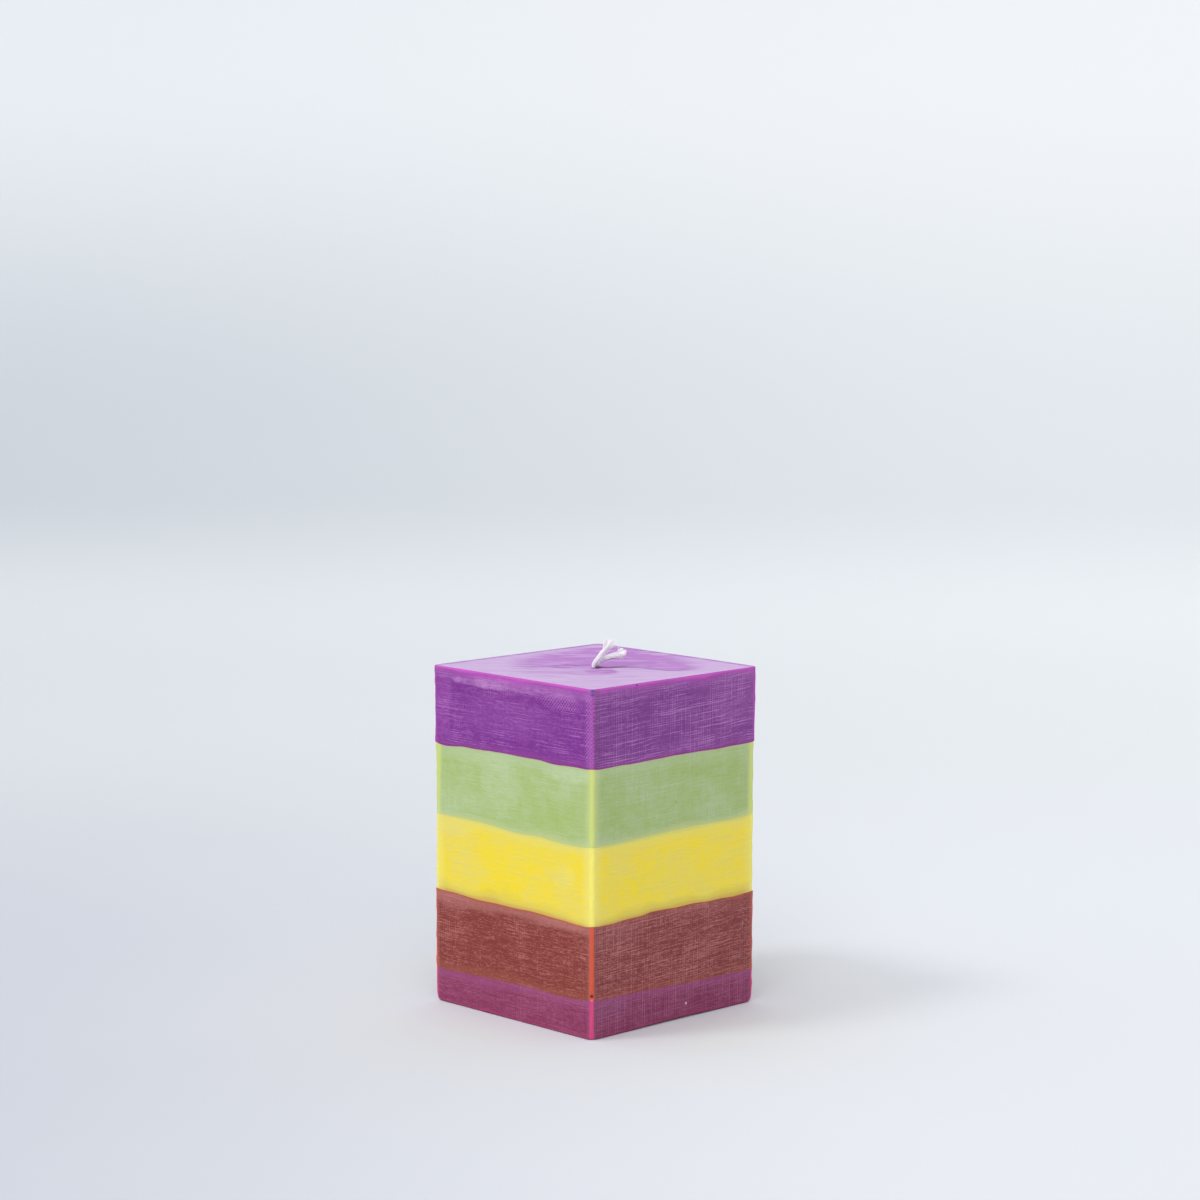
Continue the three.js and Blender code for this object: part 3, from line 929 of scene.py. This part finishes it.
SHORT = dict(
    foot_y=WICK_OFFSET_Y + STRAND_PITCH / 2,
    line=[
        (0.0, -0.3, 0.3), (-0.02, 0.5, 0.24), (0.2, 1.1, 0.2), (0.6, 1.75, 0.17), (1.15, 2.3, 0.22),
        (1.75, 2.56, 0.44), (2.3, 2.66, 0.7), (3.5, 3.02, 0.8), (5.0, 3.44, 0.88), (5.8, 3.62, 0.94),
    ],
    tip=[(6.4, 3.75, 1.06), (7.0, 3.88, 1.22), (7.5, 3.92, 1.2), (7.95, 3.9, 0.95), (8.15, 3.88, 0.5)],
    lobes=[
        [(6.3, 4.1, 0.5), (6.6, 4.7, 0.6), (6.8, 5.2, 0.55), (6.88, 5.55, 0.25)],
        [(6.9, 3.7, 0.5), (7.5, 4.3, 0.6), (8.0, 4.6, 0.5), (8.25, 4.72, 0.22)],
        [(6.8, 3.7, 0.5), (7.4, 3.35, 0.5), (7.8, 3.2, 0.4), (8.0, 3.14, 0.18)],
    ],
    soaked=1.2,
    along=70,
    brushes=[(120, 1.1, 8, 2.2, 16, 0.06), (40, 0.8, 58, 2.1, 7, 0.06), (24, 0.9, -18, 1.9, 6, 0.05)],
    strays=[
        ([(0.0, 0.6, 0.2), (0.4, 2.0, 0.2), (1.3, 3.1, 0.1), (2.6, 3.6, 0)], 8, STRAY_RADIUS, 0.2, 0.14),
        # Fibres under the bent strand, tinted dark as a painted shadow line beneath it
        ([(0.9, 1.3, -0.5), (2.0, 1.95, -0.6), (3.6, 2.4, -0.7), (5.6, 2.9, -0.7)], 16, 0.05, 0.75, 0.05),
    ],
)


def smooth_line(knots, step):
    """Places and radii along a smooth curve through knots of (place, radius), a step apart at most."""
    found = []
    for k, ((here, radius), (there, next_radius)) in enumerate(zip(knots, knots[1:])):
        span = (there - here).length
        pull_out = (there - knots[max(k - 1, 0)][0]).normalized() * span
        pull_in = (knots[min(k + 2, len(knots) - 1)][0] - here).normalized() * span
        steps = max(2, math.ceil(span / step))
        for n in range(steps):
            t = n / steps
            ease = eased(t)
            pull = pull_out * (t ** 3 - 2 * t ** 2 + t) + pull_in * (t ** 3 - t ** 2)
            found.append((here.lerp(there, ease) + pull, radius + (next_radius - radius) * ease))
    found.append(knots[-1])
    return found


def direction_at(line, k, steps_back=1):
    """Direction in which a line of (place, radius) runs at its step k."""
    return (line[min(k + 1, len(line) - 1)][0] - line[max(k - steps_back, 0)][0]).normalized()


class Bundle:
    """Tubes that make up one strand, collected into one mesh."""

    def __init__(self):
        self.vertices = []
        self.faces = []
        self.soak_and_shade = []

    def tube(self, line, sides, soak_and_shade, lump=None):
        """Closed tube along a line of (place, radius), tinted by a function of the place."""
        start = len(self.vertices)
        up = Vector((0.31, -0.52, 0.79))
        for k, (place, radius) in enumerate(line):
            tangent = direction_at(line, k)
            side = tangent.cross(up).normalized()
            up = side.cross(tangent).normalized()
            for s in range(sides):
                angle = 2 * math.pi * s / sides
                reach = radius * (lump(k, angle) if lump else 1)
                self.vertices.append(place + (side * math.cos(angle) + up * math.sin(angle)) * reach)
                self.soak_and_shade.append(soak_and_shade(place))
        end = len(self.vertices) - sides
        for row in range(start, end, sides):
            for s in range(sides):
                a, b = row + s, row + (s + 1) % sides
                self.faces.append((a, a + sides, b + sides, b))
        self.faces.append(tuple(range(start, start + sides)))
        self.faces.append(tuple(range(end, end + sides))[::-1])


class Strand:
    """One strand of the wick: a grooved body with fibres on it, whose tip splays into a brush."""

    DEPTH = Vector((0, 0, 1)).cross(LEAN)

    def __init__(self, looks, rng):
        self.looks = looks
        self.rng = rng
        self.bundle = Bundle()
        foot_y = looks["foot_y"]
        self.foot = Vector((0, foot_y, WICK_MOUTH))
        shown = self.knots(looks["line"])
        hidden_ends = (WICK_RECESS, WICK_MOUTH - 3 * STRAND_RADIUS)
        hidden = [(Vector((0, foot_y, z)), STRAND_RADIUS - BORE_GAP) for z in hidden_ends]
        self.inside = smooth_line(hidden + shown[:1], INSIDE_STEP)
        self.outside = smooth_line(shown, OUTSIDE_STEP)

    def at(self, out, rise, deep=0.0):
        return self.foot + LEAN * out + self.DEPTH * deep + Vector((0, 0, rise))

    def knots(self, rows):
        return [(self.at(out, rise), half) for out, rise, half in rows]

    def soak_and_shade(self, place):
        """Share of violet wax that the cotton has taken up: most at the mouth of the bore."""
        return self.looks["soaked"] * clamped(1 - (place.z - WICK_MOUTH) / 0.9)

    def body(self):
        def lump(k, angle):
            return 0.94 + 0.06 * math.cos(PLIES * angle + 0.16 * k) + 0.03 * math.cos(7 * angle - 0.21 * k)

        line = self.inside[:-1] + self.outside + self.knots(self.looks["tip"])
        self.bundle.tube(line, STRAND_SIDES, self.soak_and_shade, lump)

    def lobes(self):
        """Thick tufts of fibres beside the tip."""
        def lump(k, angle):
            return 0.94 + 0.1 * math.cos(5 * angle + 0.2 * k)

        for rows in self.looks["lobes"]:
            line = smooth_line(self.knots(rows), OUTSIDE_STEP)
            self.bundle.tube(line, STRAND_SIDES, self.soak_and_shade, lump)

    def around(self, k, angle, reach):
        """Place beside the outside line at step k, at an angle round it and a share of its half width."""
        place, radius = self.outside[k]
        normal = self.DEPTH.cross(direction_at(self.outside, k)).normalized()
        return place + (normal * math.cos(angle) + self.DEPTH * math.sin(angle)) * radius * reach

    def surface_fibres(self):
        """Fibres that lie along the body."""
        rng = self.rng
        last = len(self.outside) - 1
        for _ in range(self.looks["along"]):
            start = rng.randrange(0, max(1, last - 6))
            end = min(last, start + rng.randrange(6, 16))
            angle, turn = rng.uniform(0, 2 * math.pi), rng.uniform(0.03, 0.07)
            rise = rng.uniform(0.93, 1.03)
            line = []
            for k in range(start, end + 1):
                middle = 1 - abs(2 * (k - start) / (end - start) - 1)
                radius = FIBRE_RADIUS * (0.3 + 0.7 * middle ** 0.5)
                line.append((self.around(k, angle + turn * k, rise), radius))
            self.bundle.tube(line, FIBRE_SIDES, self.soak_and_shade)

    def brush(self, count, root, direction, length, spread, radius):
        """Fibres that leave the last steps of the body and bend towards one direction."""
        rng = self.rng
        last = len(self.outside) - 1
        ahead = direction_at(self.outside, last, 3)
        for _ in range(count):
            k = last - rng.randrange(0, 5)
            turn = math.radians(rng.gauss(direction, spread))
            deep = self.DEPTH * rng.gauss(0, 0.24)
            heading = (LEAN * math.cos(turn) + Vector((0, 0, math.sin(turn))) + deep).normalized()
            start = self.around(k, rng.uniform(0, 2 * math.pi), root * math.sqrt(rng.random()))
            reach = length * rng.uniform(0.78, 1.06)
            curl = Vector((rng.uniform(-1, 1), rng.uniform(-1, 1), rng.uniform(-1, 1))) * 0.16 * reach
            line = []
            for step in range(FIBRE_STEPS + 1):
                share = step / FIBRE_STEPS
                way = ahead.lerp(heading, eased(min(1, share * 1.6)))
                line.append((start + way * reach * share + curl * share ** 2, radius * (1.1 - 0.5 * share)))
            self.bundle.tube(line, FIBRE_SIDES, lambda place: 0.0)

    def stray(self, knots, count, radius, soak_and_shade, wander):
        """Loose fibres that follow a line of their own."""
        rng = self.rng
        line = smooth_line([(self.at(*knot), radius) for knot in knots], STRAY_STEP)
        last = len(line) - 1
        for _ in range(count):
            shift = Vector((rng.gauss(0, wander), rng.gauss(0, wander), rng.gauss(0, wander)))
            begin, end = rng.uniform(0, 0.25), rng.uniform(0.6, 1.0)
            kept = line[int(begin * last):int(end * last) + 1]
            shares = [k / len(kept) for k in range(len(kept))]
            grown = [
                (place + shift * (0.3 + share), radius * (1.1 - 0.6 * share))
                for (place, _), share in zip(kept, shares)
            ]
            self.bundle.tube(grown, FIBRE_SIDES, lambda place: soak_and_shade)

    def build(self, name, material):
        self.body()
        self.lobes()
        self.surface_fibres()
        for brush in self.looks["brushes"]:
            self.brush(*brush)
        for stray in self.looks["strays"]:
            self.stray(*stray)
        bundle = self.bundle
        return new_object(name, bundle.vertices, bundle.faces, [material], attributes={"soak_and_shade": bundle.soak_and_shade})


# Pieces

foot = Foot()
# Seams as (level, climb at the walls, waves along x and y as (size, start in degrees), raggedness, its
# length, places where they rise more as (x, y, rise, reach))
seams = {
    "plum": Seam(
        10.45, 0.4, ((0.45, 58), (0.1, 128)), 0.22, 9.0,
        [(33, -31, 0.75, 9), (33, -16, 0.7, 12), (33, -33, 0.5, 1.6)],
    ),
    "red": Seam(
        33.1, 0.6, ((0.38, 94), (0.45, 72)), 0.3, 9.0,
        [(-31, -33, 1.1, 11), (33, 33, 0.5, 8), (33, -9, 0.35, 3)],
    ),
    "yellow": Seam(55.7, 0.2, ((0.8, -164), (0.45, 43)), 0.15, 12.0, [(33, 33, 0.9, 7), (12, -33, 0.7, 7)]),
    "green": Seam(
        77.5, 0.5, ((0.24, 71), (0.2, 75)), 0.22, 9.0,
        [(33, 31, 0.5, 9), (17, -33, -0.4, 5), (-28, -33, -0.4, 5)],
    ),
}
top = OpenTop()

# Wall profiles at the ends of a pour as (distance from its surface, inset)
FOOT_PROFILE = [(lift, 0.0) for lift in (0.0, 0.04, 0.12, 0.25, 0.45, 0.7, 1.4)]
LOWER_PROFILE = [(0.0, 0.03), (0.15, 0.01), (0.45, 0.0)]
UPPER_PROFILE = LOWER_PROFILE[::-1]
LIP_PROFILE = [(0.0, 0.14), (0.08, 0.05), (0.25, 0.01), (0.6, 0.0)]
RIM_PROFILE = [(0.9, 0.0), (0.35, 0.02), (0.14, 0.07), (0.04, 0.14), (0.0, 0.26)]


def even(proud):
    return lambda z: proud


def flared(proud, flare, reach):
    """Wall that stands further out towards the rim."""
    return lambda z: proud + flare * math.exp((z - HEIGHT) / reach)


def build_wax():
    walls = {name: wax_wall(name) for name in WAXES}
    rows = [
        ("plum", "wax_plum_base", foot, seams["plum"], FOOT_PROFILE, UPPER_PROFILE, even(0.33)),
        ("red", "wax_brick_red", seams["plum"], seams["red"], LOWER_PROFILE, UPPER_PROFILE, even(0.35)),
        ("yellow", "wax_yellow", seams["red"], seams["yellow"], LOWER_PROFILE, UPPER_PROFILE, even(0.16)),
        ("green", "wax_green", seams["yellow"], seams["green"], LOWER_PROFILE, UPPER_PROFILE, even(0.13)),
        ("violet", "wax_violet_top", seams["green"], top, LIP_PROFILE, RIM_PROFILE, flared(0.32, 0.12, 4)),
    ]
    for colour, node, lower, upper, foot_profile, head_profile, proud in rows:
        materials = [walls[colour], wax_top()] if upper is top else [walls[colour]]
        piece = pour("pour_" + colour, lower, upper, foot_profile, head_profile, proud, materials)
        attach(piece, "root")
        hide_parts(node)


def build_wick():
    material = cotton()
    rng = random.Random(SEED)
    for name, node, looks in (
        ("cotton_strand_tall", "wick_strand_tall", TALL),
        ("cotton_strand_short", "wick_strand_short", SHORT),
    ):
        piece = Strand(looks, rng).build(name, material)
        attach(piece, "root")
        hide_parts(node)


# Camera, floor and light

# Half width of the paper, and how far back and how high its ends and the curve between floor and backdrop
# lie
PAPER_HALF = 2600.0
PAPER_FRONT = -2600.0
PAPER_TOP = 2600.0
CURVE_START = 700.0
CURVE_RADIUS = 900.0
CURVE_STEPS = 16


def build_camera():
    data = bpy.data.cameras.new("photo_camera")
    data.lens = CAMERA_LENS
    data.sensor_width = 36
    data.clip_start = 0.01
    camera = add_object("photo_camera", data)
    turn = Matrix.Rotation(math.radians(CAMERA_AZIMUTH), 4, "Z")
    tilt = Matrix.Rotation(math.radians(90 - CAMERA_PITCH), 4, "X")
    roll = Matrix.Rotation(math.radians(CAMERA_ROLL), 4, "Z")
    camera.matrix_world = Matrix.Translation(CAMERA_PLACE * MM) @ turn @ tilt @ roll
    bpy.context.scene.camera = camera


def build_floor():
    """Pale paper that runs from the floor up a curve behind the object."""
    profile = [(PAPER_FRONT, 0.0), (CURVE_START, 0.0)]
    for step in range(1, CURVE_STEPS + 1):
        angle = math.pi / 2 * step / CURVE_STEPS
        profile.append((CURVE_START + CURVE_RADIUS * math.sin(angle), CURVE_RADIUS * (1 - math.cos(angle))))
    profile.append((CURVE_START + CURVE_RADIUS, PAPER_TOP))
    vertices = [
        VIEW_RIGHT * right + VIEW_BACK * back + Vector((0, 0, z))
        for back, z in profile for right in (-PAPER_HALF, PAPER_HALF)
    ]
    faces = [(2 * k, 2 * k + 1, 2 * k + 3, 2 * k + 2) for k in range(len(profile) - 1)]
    floor = new_object("studio_floor", vertices, faces, [studio_paper()])


def build_world():
    """Even pale surroundings, brighter on the photograph's left, of one brightness where they are seen."""
    world = bpy.data.worlds.new("studio")
    bpy.context.scene.world = world
    graph = Graph(world)
    direction = graph.output("Generated", "ShaderNodeTexCoord")
    sides = [(0, direction), (1, VIEW_RIGHT)]
    rightward = graph.output("Value", "ShaderNodeVectorMath", sides, operation="DOT_PRODUCT")
    light = rightward * (-WORLD_LEAN * WORLD_LIGHT) + WORLD_LIGHT
    rays = graph.node("ShaderNodeLightPath").outputs
    seen = Value(graph, rays["Is Camera Ray"])
    for kind in ("Is Glossy Ray", "Is Transmission Ray"):
        seen = graph.math("MAXIMUM", seen, Value(graph, rays[kind]))
    background = graph.tree.nodes["Background"]
    background.inputs["Color"].default_value = (0.97, 0.985, 1.0, 1.0)
    strength = graph.output("Result", "ShaderNodeMix", [("Factor", seen), ("A", light), ("B", WORLD_SEEN)])
    graph.link(strength, background.inputs["Strength"])


def build_lamps():
    """Soft lamps to the left of the candle and in front of it."""
    for name, light, width, height, turn in LAMPS:
        lamp = bpy.data.lights.new(name, "SUN")
        lamp.angle = math.radians(width)
        lamp.energy = light
        softbox = add_object(name, lamp)
        elevation, round_candle = math.radians(height), math.radians(turn)
        level = VIEW_RIGHT * math.cos(round_candle) + VIEW_BACK * math.sin(round_candle)
        towards = level * math.cos(elevation) + Vector((0, 0, math.sin(elevation)))
        softbox.location = towards
        softbox.rotation_mode = "QUATERNION"
        softbox.rotation_quaternion = (-towards).to_track_quat("-Z", "Y")


build_camera()
build_wax()
build_wick()
build_floor()
build_world()
build_lamps()

bpy.context.scene.view_settings.view_transform = "Standard"
